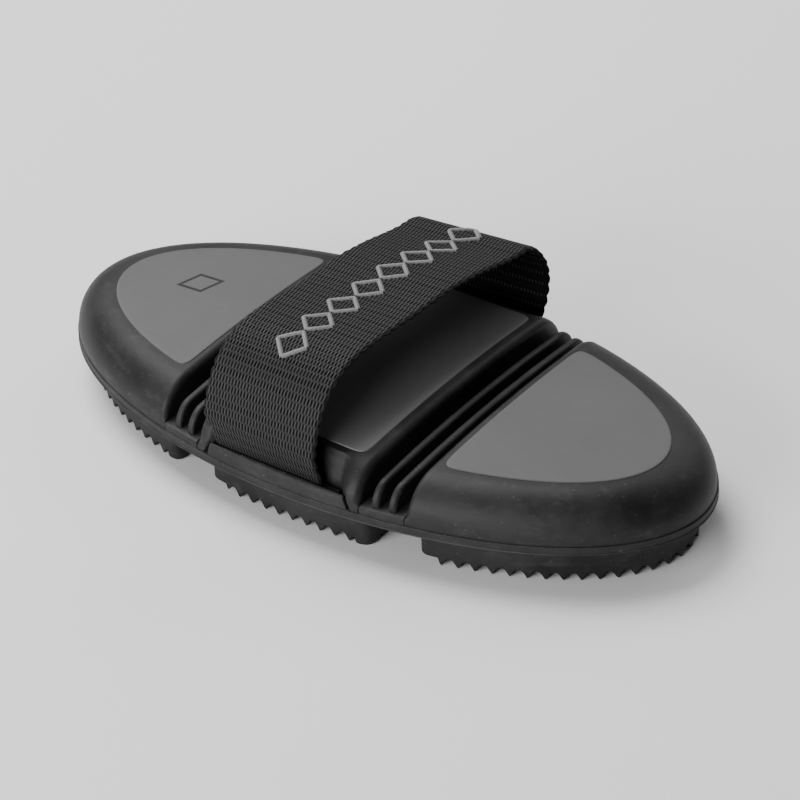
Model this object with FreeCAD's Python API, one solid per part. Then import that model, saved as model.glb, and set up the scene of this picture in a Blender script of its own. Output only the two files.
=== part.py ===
import FreeCAD, Part
import os
from math import cos, radians, sin, sqrt

from FreeCAD import Vector

# Flexible curry comb, in millimetres.
# X runs along the comb, Y across it, Z up. The tooth tips stand on Z = 0.
# The comb is an oval of three stiff segments, a centre and two pads. Between them
# thin upright ribs stand on a rubber floor, and the floor bends in the grooves.
# A webbing hand strap arches over the centre from one long side to the other.

# Plan outline
half_length = 100.0
half_width = 49.0
shell_inset = 0.7

# Heights
tooth_height = 1.9
ring_height = 11.0
sole_thickness = 2.6
sole_top = ring_height + sole_thickness
floor_top = 15.8
crown_top = 26.95
rib_top = 24.15
crown_radius = 450.0
crown_length_radius = 2080.0
shell_shoulder = 10.0
rib_shoulder = 5.6

# Places along X where the segments, grooves and ribs begin and end
centre_edge = 26.6
inner_rib = (29.1, 31.4)
outer_rib = (33.9, 36.2)
pad_edge = 39.1
rib_inset = 1.6
groove_edge_fillet = 2.0
rib_edge_fillet = 0.9

# Hollow shells and the soles that close them
shell_wall = 3.4
shell_roof = 4.4
cavity_shoulder = 4.5
lip_height = 2.0
lip_thickness = 1.6
lip_gap = 0.15
support_rib = 2.4
support_rib_foot = 4.0

# Inlay plates, set in pockets in the shells
inlay_pocket = 1.8
inlay_proud = 0.25
inlay_gap = 0.1
pad_inlay_half_length = 87.9
pad_inlay_half_width = 36.5
pad_inlay_edge = 41.8
pad_inlay_corner = 2.8
centre_inlay_half_length = 22.8
centre_inlay_half_width = 38.2
centre_inlay_corner = 4.5
stud_radius = 2.0
stud_gap = 0.15
stud_length = 3.6
centre_studs = [(-14.0, -27.0), (14.0, -27.0), (-14.0, 27.0), (14.0, 27.0)]
pad_studs = [(52.0, -20.0), (52.0, 20.0), (76.0, 0.0)]

# Rings of teeth
ring_wall = 2.6
ring_inset = 4.5
inner_ring_inset = 15.5
centre_ring_edge = 26.3
centre_inner_ring_edge = 14.0
pad_ring_edge = 39.4
pad_inner_ring_edge = 51.0
ring_corner = 4.5
tooth_pitch = 4.5
tooth_tip_flat = 0.6
tooth_valley_flat = 1.4
plain_foot = 5.0
low_foot = 6.7

# Hand strap
strap_width = 38.0
strap_thickness = 1.6
strap_leg_y = 45.1
strap_leg_foot = 17.4
strap_leg_top = 33.4
strap_bend = 11.0
strap_gap = 0.3
strap_foot_reach = 0.5
strap_end_reach = 11.0
strap_end_riser = 16.4
strap_hem = 4.8

# Slot for the strap: a recess in the shell and a bar on the sole in front of it
recess_half_width = 21.5
recess_foot_y = 43.6
recess_head_y = 39.9
recess_head_z = 25.6
bar_half_width = 21.8
bar_foot_half_width = 23.9
bar_top = 17.4
bar_inner_y = 46.4
bar_gap = 0.3
letterbox_half_width = 20.0
letterbox_top = 16.5

# Raised lozenges sewn on the strap
motif_count = 7
motif_pitch = 9.4
motif_half_length = 3.6
motif_half_width = 5.0
motif_relief = 0.5

FAR = 140.0
crown_sweep = 8.0


def box(x0, y0, z0, x1, y1, z1):
    return Part.makeBox(x1 - x0, y1 - y0, z1 - z0, Vector(x0, y0, z0))


def slab(x0, x1):
    return box(x0, -FAR, -FAR, x1, FAR, FAR)


def prism(points, direction):
    """A closed polygon pushed along a direction."""
    wire = Part.makePolygon([Vector(*p) for p in points + points[:1]])
    return Part.Face(wire).extrude(Vector(*direction))


def oval(inset, z0, z1):
    """The plan outline, moved in by an inset and given a height."""
    ring = Part.Ellipse(Vector(0, 0, z0), half_length - inset, half_width - inset)
    return Part.Face(Part.Wire(ring.toShape())).extrude(Vector(0, 0, z1 - z0))


def upright_edges(shape):
    """Straight edges that stand along Z."""
    found = []
    for edge in shape.Edges:
        span = edge.BoundBox
        if span.XLength < 1e-4 and span.YLength < 1e-4 and span.ZLength > 1e-3:
            found.append(edge)
    return found


def rounded(shape, radius):
    """Round the corners of a plan shape."""
    return shape.makeFillet(radius, upright_edges(shape))


def under_crown(top):
    """Everything below a roof of this height, arched across the comb and a little along it."""
    drop = crown_radius - sqrt(crown_radius ** 2 - FAR ** 2)
    left = Vector(0, -FAR, top - drop)
    ridge = Vector(0, 0, top)
    right = Vector(0, FAR, top - drop)
    roof = Part.Arc(left, ridge, right).toShape()
    floor = [right, Vector(0, FAR, -FAR), Vector(0, -FAR, -FAR), left]
    sides = [Part.makeLine(a, b) for a, b in zip(floor, floor[1:])]
    section = Part.Face(Part.Wire([roof] + sides))
    pivot = Vector(0, 0, top - crown_length_radius)
    section.rotate(pivot, Vector(0, 1, 0), -crown_sweep / 2)
    return section.revolve(pivot, Vector(0, 1, 0), crown_sweep)


def crown_drop(x, y):
    """How far the roof lies below its highest point, at a place in plan."""
    across = crown_radius - sqrt(crown_radius ** 2 - y ** 2)
    along = crown_length_radius - sqrt(crown_length_radius ** 2 - x ** 2)
    return across + along


def domed_oval(inset, z0, top, shoulder):
    """An oval body under the crown, with a round shoulder all the way round."""
    body = oval(inset, z0, top + 1.0).common(under_crown(top))
    rim = [e for e in body.Edges if e.BoundBox.ZMin > z0 + 2.0]
    return body.makeFillet(shoulder, rim)


def groove_edges(shape, x):
    """The curved top edges of the flat faces that stand beside a groove."""
    found = []
    for edge in shape.Edges:
        span = edge.BoundBox
        flat = span.XLength < 1e-4 and abs(abs(edge.CenterOfMass.x) - x) < 1e-3
        if flat and edge.CenterOfMass.z > floor_top + 0.5:
            found.append(edge)
    return found


def mirrored(shape):
    """The same piece on the other end of the comb."""
    return shape.mirror(Vector(0, 0, 0), Vector(1, 0, 0))


# ---------------------------------------------------------------- shells

def shell_blank(x0, x1, faces):
    blank = domed_oval(shell_inset, sole_top, crown_top, shell_shoulder).common(slab(x0, x1))
    for x in faces:
        blank = blank.makeFillet(groove_edge_fillet, groove_edges(blank, x))
    return blank


def shell_cavity(x0, x1):
    inset = shell_inset + shell_wall
    hollow = domed_oval(inset, sole_top - 1.0, crown_top - shell_roof, cavity_shoulder)
    return hollow.common(slab(x0, x1))


def inlay_plan(x0, x1, half_wide, corner, gap):
    """Plan of the centre inlay, straight on all four sides."""
    plan = box(x0 + gap, gap - half_wide, sole_top, x1 - gap, half_wide - gap, crown_top + 2.0)
    return rounded(plan, corner)


def pad_inlay_plan(gap):
    """Plan of a pad inlay: one straight side, the rest follows the oval."""
    long_half = pad_inlay_half_length - gap
    wide_half = pad_inlay_half_width - gap
    ring = Part.Ellipse(Vector(0, 0, sole_top), long_half, wide_half)
    plan = Part.Face(Part.Wire(ring.toShape())).extrude(Vector(0, 0, crown_top + 2.0 - sole_top))
    return rounded(plan.common(slab(pad_inlay_edge + gap, FAR)), pad_inlay_corner)


def pocket(plan):
    """The space that an inlay plate is set into."""
    return plan.cut(under_crown(crown_top - inlay_pocket))


def studs(places, radius, length):
    """Pegs under an inlay plate, which lock it in the shell."""
    top = crown_top - inlay_pocket
    pegs = []
    for x, y in places:
        base = top - crown_drop(x, y) - length
        pegs.append(Part.makeCylinder(radius, length + 0.6, Vector(x, y, base)))
    return pegs


def inlay(plan, places):
    plate = plan.common(under_crown(crown_top + inlay_proud))
    plate = plate.cut(under_crown(crown_top - inlay_pocket))
    return plate.fuse(studs(places, stud_radius, stud_length)).removeSplitter()


def inlay_seat(plan, places):
    """The pocket and the peg holes, to be cut from a shell."""
    return [pocket(plan)] + studs(places, stud_radius + stud_gap, shell_roof + 2.0)


def strap_recess(side):
    """Notch in the long side of the centre shell that the strap stands in."""
    profile = [
        (-recess_half_width, side * FAR, sole_top - 1.0),
        (-recess_half_width, side * recess_foot_y, sole_top - 1.0),
        (-recess_half_width, side * recess_foot_y, strap_leg_foot),
        (-recess_half_width, side * recess_head_y, recess_head_z),
        (-recess_half_width, side * recess_head_y, FAR),
        (-recess_half_width, side * FAR, FAR),
    ]
    return prism(profile, (2 * recess_half_width, 0, 0))


def bar_plan(side, clearance):
    """The bar's face seen from the side: low, wide and sloped at both ends."""
    foot = bar_foot_half_width + clearance
    head = bar_half_width + clearance
    top = bar_top + clearance
    y = side * (bar_inner_y - clearance)
    corners = [(-foot, y, sole_top), (-head, y, top), (head, y, top), (foot, y, sole_top)]
    return prism(corners, (0, side * FAR, 0))


def centre_shell():
    blank = shell_blank(-centre_edge, centre_edge, [centre_edge])
    inner = centre_edge - shell_wall
    hollow = shell_cavity(-inner, inner)
    hollow = hollow.cut(box(-support_rib / 2, -FAR, sole_top + support_rib_foot, support_rib / 2, FAR, FAR))
    cuts = [strap_recess(-1), strap_recess(1), bar_plan(-1, bar_gap), bar_plan(1, bar_gap)]
    keep_wall = recess_foot_y - shell_wall
    hollow = hollow.common(box(-FAR, -keep_wall, 0, FAR, keep_wall, FAR))
    ramp_wall = [strap_recess(side).translated(Vector(0, -side * shell_wall, 0)) for side in (-1, 1)]
    hollow = hollow.cut(ramp_wall)
    letterbox = box(-letterbox_half_width, -FAR, sole_top - 1.0,
                    letterbox_half_width, FAR, letterbox_top)
    plan = inlay_plan(-centre_inlay_half_length, centre_inlay_half_length,
                      centre_inlay_half_width, centre_inlay_corner, 0.0)
    return blank.cut([hollow, letterbox] + cuts + inlay_seat(plan, centre_studs))


def pad_shell():
    blank = shell_blank(pad_edge, FAR, [pad_edge])
    hollow = shell_cavity(pad_edge + shell_wall, FAR)
    hollow = hollow.cut(box(0, -support_rib / 2, sole_top + support_rib_foot, FAR, support_rib / 2, FAR))
    return blank.cut([hollow] + inlay_seat(pad_inlay_plan(0.0), pad_studs))


def centre_inlay():
    plan = inlay_plan(-centre_inlay_half_length, centre_inlay_half_length,
                      centre_inlay_half_width, centre_inlay_corner, inlay_gap)
    return inlay(plan, centre_studs)


def pad_inlay():
    return inlay(pad_inlay_plan(inlay_gap), pad_studs)


# ---------------------------------------------------------------- floor, ribs and webs

def floor_strip(x0, x1, top):
    """A stretch of the rubber floor that runs under the whole comb."""
    return oval(0.0, ring_height, top).common(slab(x0, x1))


def locating_lip(x0, x1, half_wide):
    """Upstanding rim on a sole, which sits just inside the shell's wall."""
    outer = shell_inset + shell_wall + lip_gap
    top = sole_top + lip_height
    band = oval(outer, sole_top - 0.5, top).common(slab(x0 + lip_gap, x1 - lip_gap))
    inner = oval(outer + lip_thickness, 0.0, FAR)
    band = band.cut(inner.common(slab(x0 + lip_gap + lip_thickness, x1 - lip_gap - lip_thickness)))
    return band.common(box(-FAR, -half_wide, 0, FAR, half_wide, FAR))


def centre_sole():
    inner = centre_edge - shell_wall
    sole = floor_strip(-centre_edge, centre_edge, sole_top)
    lip = locating_lip(-inner, inner, recess_foot_y - shell_wall - lip_gap)
    way_for_strap = box(-letterbox_half_width, -FAR, sole_top, letterbox_half_width, FAR, FAR)
    bars = [bar_plan(side, 0.0).common(oval(0.0, sole_top - 0.5, FAR)) for side in (-1, 1)]
    return sole.fuse([lip.cut(way_for_strap)] + bars).removeSplitter()


def pad_sole():
    lip = locating_lip(pad_edge + shell_wall, half_length + shell_wall, FAR)
    return floor_strip(pad_edge, FAR, sole_top).fuse(lip).removeSplitter()


def flex_rib(span):
    upright = domed_oval(rib_inset, floor_top - 0.5, rib_top, rib_shoulder).common(slab(*span))
    for x in span:
        upright = upright.makeFillet(rib_edge_fillet, groove_edges(upright, x))
    return floor_strip(*span, floor_top).fuse(upright).removeSplitter()


# ---------------------------------------------------------------- rings of teeth

def ring_plan(x0, x1, inset, corner, z0, z1):
    return rounded(oval(inset, z0, z1).common(slab(x0, x1)), corner)


def notch(tangent, place, top_half, foot_half):
    """Wedge of empty space between two teeth, narrow at its top."""
    across = Vector(-tangent.y, tangent.x, 0) * (ring_wall * 1.2)
    start = place - across
    below = 0.2
    foot_half += below * (foot_half - top_half) / tooth_height
    shape = [(-foot_half, -below), (foot_half, -below), (top_half, tooth_height), (-top_half, tooth_height)]
    corners = [tuple(start + tangent * along + Vector(0, 0, z)) for along, z in shape]
    return prism(corners, tuple(across * 2))


def bottom_outline(shape):
    """The outline of a shape's lowest face."""
    lowest = min(shape.Faces, key=lambda face: face.CenterOfMass.z)
    return lowest.OuterWire


def corner_y(x, inset):
    """Where an inset outline crosses a place along X."""
    return (half_width - inset) * sqrt(1 - (x / (half_length - inset)) ** 2)


def beside(place, x, inset, reach):
    """Whether a place on the ring lies near one of its two corners at x."""
    return abs(place.x - x) < reach and abs(place.y) > corner_y(x, inset) - plain_foot


def tooth_ring(x0, x1, inset, plain_x=FAR, low_x=FAR):
    """A closed wall whose lower edge is a row of short teeth.

    The corners at plain_x stand at the level of the tips. Those at low_x stand at the level of
    the valleys, so that they are clear of the ground.
    """
    middle = ring_wall / 2
    thin_corner = ring_corner - ring_wall
    outer = ring_plan(x0, x1, inset, ring_corner, 0.0, ring_height)
    inner = ring_plan(x0 + ring_wall, x1 - ring_wall, inset + ring_wall, thin_corner, -1.0, FAR)
    line = ring_plan(x0 + middle, x1 - middle, inset + middle, ring_corner - middle, 0.0, 1.0)
    path = bottom_outline(line)
    count = round(path.Length / tooth_pitch)
    # Every other point is the middle of a notch, and the points between give its direction
    points = path.discretize(Number=2 * count + 1)[:-1]
    foot_half = (path.Length / count - tooth_tip_flat) / 2
    notches = []
    if low_x < FAR:
        start_y = corner_y(low_x, inset) - plain_foot
        inward = 1 if low_x == x0 else -1
        ends = sorted((low_x - inward * ring_wall, low_x + inward * low_foot))
        for side in (-1, 1):
            limits = sorted((side * start_y, side * FAR))
            notches.append(box(ends[0], limits[0], -1.0, ends[1], limits[1], tooth_height))
    for i in range(0, 2 * count, 2):
        place = points[i]
        if plain_x < FAR and beside(place, plain_x, inset, plain_foot):
            continue
        if low_x < FAR and beside(place, low_x, inset, low_foot):
            continue
        tangent = (points[i + 1] - points[i - 1]).normalize()
        notches.append(notch(tangent, place, tooth_valley_flat / 2, foot_half))
    return outer.cut(inner).cut(Part.makeCompound(notches))


# ---------------------------------------------------------------- hand strap

def strap_end(side):
    """The end of the webbing, held between shell and sole, with its sewn hem."""
    z0 = sole_top + strap_gap
    half = strap_width / 2
    near_y = strap_leg_y + strap_thickness / 2
    far_y = near_y - strap_end_reach
    flat = box(-half, far_y, z0, half, near_y, z0 + strap_thickness)
    hem = box(-half, far_y, z0 + strap_thickness - 0.1, half, far_y + strap_hem, z0 + 2 * strap_thickness)
    riser = box(-half, near_y - strap_thickness, z0, half, near_y, strap_end_riser)
    end = flat.fuse([hem, riser]).removeSplitter()
    return end if side > 0 else end.mirror(Vector(0, 0, 0), Vector(0, 1, 0))


def strap_leg(side):
    half = strap_thickness / 2
    y = side * strap_leg_y
    return box(-strap_width / 2, y - half, strap_leg_foot - strap_foot_reach,
               strap_width / 2, y + half, strap_leg_top - strap_gap)


def arch_line(offset):
    """The arch seen from the end of the comb, at an offset from the webbing's middle."""
    x = -strap_width / 2
    flat_y = strap_leg_y - strap_bend
    radius = strap_bend + offset
    side_y = flat_y + radius
    top = strap_leg_top + radius
    slope_y = flat_y + radius * cos(radians(45.0))
    slope_z = strap_leg_top + radius * sin(radians(45.0))
    near = [Vector(x, -side_y, strap_leg_top), Vector(x, -slope_y, slope_z), Vector(x, -flat_y, top)]
    far = [Vector(x, flat_y, top), Vector(x, slope_y, slope_z), Vector(x, side_y, strap_leg_top)]
    flat = Part.makeLine(near[-1], far[0])
    return Part.Wire([Part.Arc(*near).toShape(), flat, Part.Arc(*far).toShape()])


def strap_crown():
    outer = arch_line(strap_thickness / 2)
    inner = arch_line(-strap_thickness / 2)
    ends = [
        Part.makeLine(outer.OrderedVertexes[0].Point, inner.OrderedVertexes[0].Point),
        Part.makeLine(outer.OrderedVertexes[-1].Point, inner.OrderedVertexes[-1].Point),
    ]
    outline = Part.Wire(Part.__sortEdges__(outer.Edges + inner.Edges + ends))
    arch = Part.Face(outline).extrude(Vector(strap_width, 0, 0))
    room_for_legs = box(-FAR, -FAR, 0.0, FAR, FAR, strap_leg_top + strap_gap)
    return arch.cut(room_for_legs)


def strap_motif():
    """A row of sewn lozenges on top of the strap."""
    z = strap_leg_top + strap_bend + strap_thickness / 2
    first = -(motif_count - 1) * motif_pitch / 2
    pieces = []
    for i in range(motif_count):
        y = first + i * motif_pitch
        corners = [(0, y - motif_half_length, z), (motif_half_width, y, z),
                   (0, y + motif_half_length, z), (-motif_half_width, y, z)]
        pieces.append(prism(corners, (0, 0, motif_relief)))
    return Part.makeCompound(pieces)


# ---------------------------------------------------------------- write every piece

def build():
    pieces = {
        "centre_shell": centre_shell(),
        "centre_inlay": centre_inlay(),
        "centre_sole": centre_sole(),
        "centre_outer_tooth_ring": tooth_ring(-centre_ring_edge, centre_ring_edge, ring_inset,
                                              centre_ring_edge, -centre_ring_edge),
        "centre_inner_tooth_ring": tooth_ring(-centre_inner_ring_edge, centre_inner_ring_edge,
                                              inner_ring_inset, centre_inner_ring_edge),
        "right_pad_outer_tooth_ring": tooth_ring(pad_ring_edge, FAR, ring_inset, low_x=pad_ring_edge),
        "left_pad_outer_tooth_ring": mirrored(tooth_ring(pad_ring_edge, FAR, ring_inset, pad_ring_edge)),
        "strap_near_end": strap_end(-1),
        "strap_far_end": strap_end(1),
        "strap_near_leg": strap_leg(-1),
        "strap_far_leg": strap_leg(1),
        "strap_crown": strap_crown(),
        "strap_motif": strap_motif(),
    }
    one_end = {
        "pad_shell": pad_shell(),
        "pad_inlay": pad_inlay(),
        "pad_sole": pad_sole(),
        "pad_inner_tooth_ring": tooth_ring(pad_inner_ring_edge, FAR, inner_ring_inset, pad_inner_ring_edge),
        "inner_flex_rib": flex_rib(inner_rib),
        "outer_flex_rib": flex_rib(outer_rib),
        "inner_groove_web": floor_strip(centre_edge, inner_rib[0], floor_top),
        "middle_groove_web": floor_strip(inner_rib[1], outer_rib[0], floor_top),
        "outer_groove_web": floor_strip(outer_rib[1], pad_edge, floor_top),
    }
    for name, shape in one_end.items():
        pieces["right_" + name] = shape
        pieces["left_" + name] = mirrored(shape)
    return pieces


os.makedirs("parts", exist_ok=True)
for name, shape in build().items():
    solids = shape.Solids
    print(name, "valid", shape.isValid(), "solids", len(solids), "volume", round(shape.Volume, 1))
    single = solids[0] if len(solids) == 1 else Part.makeCompound(solids)
    single.exportStep("parts/" + name + ".step")
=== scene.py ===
import math

import bmesh
import bpy
import numpy as np
from mathutils import Matrix, Vector

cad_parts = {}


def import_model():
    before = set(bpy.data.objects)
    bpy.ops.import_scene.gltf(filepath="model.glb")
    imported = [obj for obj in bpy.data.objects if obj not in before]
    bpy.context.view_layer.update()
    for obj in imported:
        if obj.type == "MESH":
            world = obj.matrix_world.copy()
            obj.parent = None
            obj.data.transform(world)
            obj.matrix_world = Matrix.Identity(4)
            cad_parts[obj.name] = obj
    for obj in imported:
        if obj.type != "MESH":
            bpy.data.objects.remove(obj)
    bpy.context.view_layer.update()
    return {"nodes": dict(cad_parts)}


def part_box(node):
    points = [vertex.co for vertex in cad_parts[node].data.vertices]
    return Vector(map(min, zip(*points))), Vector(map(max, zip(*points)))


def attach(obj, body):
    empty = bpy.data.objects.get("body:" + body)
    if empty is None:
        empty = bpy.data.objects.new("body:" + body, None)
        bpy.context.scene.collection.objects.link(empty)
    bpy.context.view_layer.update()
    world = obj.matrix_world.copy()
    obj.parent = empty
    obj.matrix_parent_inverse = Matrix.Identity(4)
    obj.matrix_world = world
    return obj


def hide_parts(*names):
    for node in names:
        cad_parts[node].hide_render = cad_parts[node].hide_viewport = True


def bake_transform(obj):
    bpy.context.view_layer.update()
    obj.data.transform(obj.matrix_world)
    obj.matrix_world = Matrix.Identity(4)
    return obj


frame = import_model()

# Flexible curry comb. Lengths are in millimetres in this script, and pieces are made in metres.
# X runs along the comb, Y across it, Z up, and the tooth tips stand on Z = 0.
MM = 0.001


def span(node):
    """Lowest and highest corner of a CAD node, in millimetres."""
    low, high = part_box(node)
    return np.array(low) / MM, np.array(high) / MM


# ---------------------------------------------------------------- sizes taken from the frame

half_length = span("right_pad_sole")[1][0]
half_width = span("centre_sole")[1][1]
sole_low = span("right_inner_groove_web")[0][2]
floor_top = span("right_inner_groove_web")[1][2]
seam = span("right_pad_shell")[0][2]
centre_edge = span("centre_sole")[1][0]
pad_edge = span("right_pad_sole")[0][0]
inner_rib = (span("right_inner_flex_rib")[0][0], span("right_inner_flex_rib")[1][0])
outer_rib = (span("right_outer_flex_rib")[0][0], span("right_outer_flex_rib")[1][0])
rib_top = span("right_inner_flex_rib")[1][2]
strap_half = span("strap_crown")[1][0]

# ---------------------------------------------------------------- sizes of this script's own

bar_top = 17.3
crown_top = 26.95
crown_radius = 450.0
crown_length_radius = 2080.0
shell_inset = 0.25
shell_play = 0.35
shell_shoulder_reach = 11.0
shell_shoulder = 10.0
rib_inset = 1.6
rib_shoulder = 5.6
ring_wall = 2.6
tooth_height = 2.2
tooth_pitch = 4.5
ring_inset = 4.5
inner_ring_inset = 15.5
plain_corner_reach = 5.0
low_corner_reach = 6.6
corner_blend = 0.7
# A plane beyond the comb's tip, for an outline that runs round the tip.
beyond_tip = 200.0


# ---------------------------------------------------------------- mesh helpers

def add_object(name, data):
    """A new object in the scene."""
    obj = bpy.data.objects.new(name, data)
    bpy.context.scene.collection.objects.link(obj)
    return obj


class Skin:
    """Points and faces gathered from grids, polygons and fans, welded where they meet.

    Each point also has two weave coordinates and a relief, used only by the webbing.
    """

    def __init__(self):
        self.points = []
        self.faces = []
        self.uvs = []

    def add_points(self, points, uvs=None):
        start = len(self.points)
        points = np.asarray(points, float).reshape(-1, 3)
        self.points.extend(points.tolist())
        uvs = np.zeros((len(points), 3)) if uvs is None else np.asarray(uvs, float).reshape(-1, 3)
        self.uvs.extend(uvs.tolist())
        return start

    def grid(self, points, closed_rows=False, closed_columns=False, uvs=None):
        """Quads over an array of points of shape (columns, rows, 3)."""
        columns, rows = points.shape[:2]
        start = self.add_points(points, uvs)
        for i in range(columns if closed_columns else columns - 1):
            here = start + i * rows
            there = start + ((i + 1) % columns) * rows
            for j in range(rows if closed_rows else rows - 1):
                k = (j + 1) % rows
                self.faces.append((here + j, there + j, there + k, here + k))

    def polygon(self, loop):
        start = self.add_points(loop)
        self.faces.append(tuple(range(start, start + len(loop))))

    def fan(self, loop, centre):
        start = self.add_points(list(loop) + [centre])
        last = start + len(loop)
        for i in range(len(loop)):
            self.faces.append((start + i, start + (i + 1) % len(loop), last))

    def bar(self, sections, uvs=None):
        """A closed body through the sections, capped at both ends."""
        self.grid(sections, closed_rows=True, uvs=uvs)
        self.polygon(sections[0])
        self.polygon(sections[-1])

    def mirror(self, side):
        """Puts the points on the left end of the comb if side is -1."""
        self.points = (np.array(self.points) * np.array([side, 1, 1])).tolist()

    def piece(self, name, material, crease=38.0, weld=0.004):
        """The finished mesh object, closed, with its normals outwards."""
        mesh = bpy.data.meshes.new(name)
        mesh.from_pydata((np.array(self.points) * MM).tolist(), [], self.faces)
        corner = np.zeros(len(mesh.loops), np.int32)
        mesh.loops.foreach_get("vertex_index", corner)
        values = np.array(self.uvs, np.float32)[corner]
        mesh.uv_layers.new(name="weave").data.foreach_set("uv", values[:, :2].ravel())
        mesh.uv_layers.new(name="relief").data.foreach_set("uv", values[:, [2, 2]].ravel())
        work = bmesh.new()
        work.from_mesh(mesh)
        bmesh.ops.remove_doubles(work, verts=work.verts, dist=weld * MM)
        bmesh.ops.dissolve_degenerate(work, edges=work.edges, dist=weld * MM / 4)
        bmesh.ops.recalc_face_normals(work, faces=work.faces)
        for face in work.faces:
            face.smooth = True
        work.to_mesh(mesh)
        work.free()
        mesh.set_sharp_from_angle(angle=math.radians(crease))
        mesh.materials.append(material)
        return add_object(name, mesh)


def smooth_step(value):
    t = np.clip(value, 0.0, 1.0)
    return t * t * (3 - 2 * t)


def walked(line):
    """How far along a line of points each point is."""
    return np.concatenate([[0], np.cumsum(np.hypot(*np.diff(line, axis=0).T))])


# ---------------------------------------------------------------- the oval and its dome

def oval_y(x, inset):
    """Half the width of the inset plan outline at x."""
    return (half_width - inset) * np.sqrt(np.clip(1 - (x / (half_length - inset)) ** 2, 0, None))


def crown_z(x, y, top):
    """Height of the roof, arched across the comb and a little along it."""
    return top - y ** 2 / (2 * crown_radius) - x ** 2 / (2 * crown_length_radius)


square_height = floor_top - 0.6
square_blend = 1.6
rim_flat = 0.8


class Dome:
    """A body under the crowned roof with a round shoulder along its rim."""

    def __init__(self, inset, top, shoulder, reach, foot, rows=26):
        turn = np.linspace(0, math.pi / 2, rows)
        self.top = top
        self.foot = foot
        self.shoulder = shoulder
        wall = np.array([0.0, 0.1, 0.2, 0.32, 0.45])
        self.insets = np.concatenate([
            np.full(len(wall), inset),
            inset + reach * (1 - np.cos(turn)),
            [inset + reach + rim_flat],
        ])
        self.wall = wall
        self.rise = np.concatenate([np.sin(turn), [1.0]])

    def rim(self, x, y_rows):
        """Heights of the rim's rows, for their place in plan."""
        roof = crown_z(x, y_rows, self.top)
        count = len(self.wall)
        shoulder = roof[..., count:] - self.shoulder * (1 - self.rise)
        floor = self.foot + self.wall[-1]
        shoulder = np.maximum(shoulder, floor + 0.01 * np.arange(shoulder.shape[-1]))
        walls = np.broadcast_to(self.foot + self.wall, y_rows[..., :count].shape)
        return np.concatenate([walls, shoulder], axis=-1)

    def section(self, x, edge=0.0, across=40):
        """The cut at x, from the near foot over the top to the far foot.

        It is drawn in by edge, but not below square_height.
        """
        y_rim = oval_y(x, self.insets)
        z_rim = self.rim(x, y_rim)
        y_top = y_rim[-1] * np.linspace(1, -1, across + 1)[1:-1]
        y = np.concatenate([-y_rim, -y_top, y_rim[::-1]])
        z = np.concatenate([z_rim, crown_z(x, y_top, self.top), z_rim[::-1]])
        if edge > 0:
            slope_y = np.gradient(y)
            slope_z = np.gradient(z)
            length = np.hypot(slope_y, slope_z)
            above = edge * smooth_step((z - square_height) / square_blend)
            y = y + slope_z / length * above
            z = np.maximum(z - slope_y / length * above, self.foot)
            z[0] = z[-1] = self.foot
        return np.stack([np.full_like(y, x), y, z], 1)


def stations(x0, x1, radius, step, round_end=True, extra=()):
    """Places along X and how far the section is drawn in there, round at the start and the end."""
    turn = np.linspace(0, math.pi / 2, 8)
    reach = radius * (1 - np.cos(turn))
    draw = radius * (1 - np.sin(turn))
    first = x0 + radius
    last = x1 - (radius if round_end else 0)
    places = set(np.round(np.linspace(first, last, max(2, round((last - first) / step) + 1)), 5))
    places |= {x for x in extra if first < x < last}
    rows = [(x0 + r, d) for r, d in zip(reach, draw)][:-1]
    rows += [(x, 0.0) for x in sorted(places)]
    if round_end:
        rows += [(x1 - r, d) for r, d in zip(reach, draw)][:-1][::-1]
    return rows


def tip_grid(insets, heights, x_start, turns=90):
    """Rows that run from the near side of a pad round its tip to the far side."""
    share = np.linspace(0, 1, turns + 1)[:, None]
    start = np.arccos(np.clip(x_start / (half_length - insets), -1, 1))[None, :]
    angle = start * (1 - share)
    x = (half_length - insets) * np.cos(angle)
    y = (half_width - insets) * np.sin(angle)
    z = heights(x, y)
    near = np.stack([x, -y, z], 2)
    far = np.stack([x, y, z], 2)[::-1]
    return np.concatenate([near, far[1:]])


# ---------------------------------------------------------------- rubber shells, ribs and soles

def shell_dome():
    return Dome(shell_inset, crown_top, shell_shoulder, shell_shoulder_reach, seam + 0.01)


# From a pad's edge, how far its cross sections go before the rows round its tip take over.
shell_join = 6.0
sole_join = 4.0
pad_middle = 62.0


def pad_shell(name, side, material):
    dome = shell_dome()
    free_x = pad_edge + shell_join
    skin = Skin()
    rows = stations(pad_edge + shell_play / 2, free_x, radius=2.0, step=0.6, round_end=False)
    body = np.array([dome.section(x, draw) for x, draw in rows])
    skin.grid(body, closed_rows=True)
    skin.polygon(body[0])
    tip = tip_grid(dome.insets, dome.rim, free_x)
    skin.grid(tip)
    count = len(dome.insets)
    across = body[-1][count - 1:-(count - 1)]
    top_loop = np.concatenate([tip[:, -1], across[::-1][1:-1]])
    skin.fan(top_loop, [pad_middle, 0.0, crown_z(pad_middle, 0.0, crown_top)])
    skin.polygon(tip[:, 0])
    skin.mirror(side)
    return skin.piece(name, material)


recess_half = 23.2
recess_cheek = 5.6
recess_foot = 42.9
recess_head = 39.5
recess_slope_start = 17.4
recess_slope_end = 25.6
bar_half = 21.5
bar_foot_half = 23.3
bar_inner = 46.4
bar_end_gap = 0.9
bar_end_blend = 0.8
bar_gap = 0.2
bar_inset = 0.12
bar_lean = 0.35
bar_round = 0.45
bar_sink = 0.6
bar_least_sink = 0.5
bar_root = 0.7
# The centre shell has extra sections between these, where the recess has its cheeks.
cheek_start = 16.5
cheek_end = 25.4
cheek_step = 0.3


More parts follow.
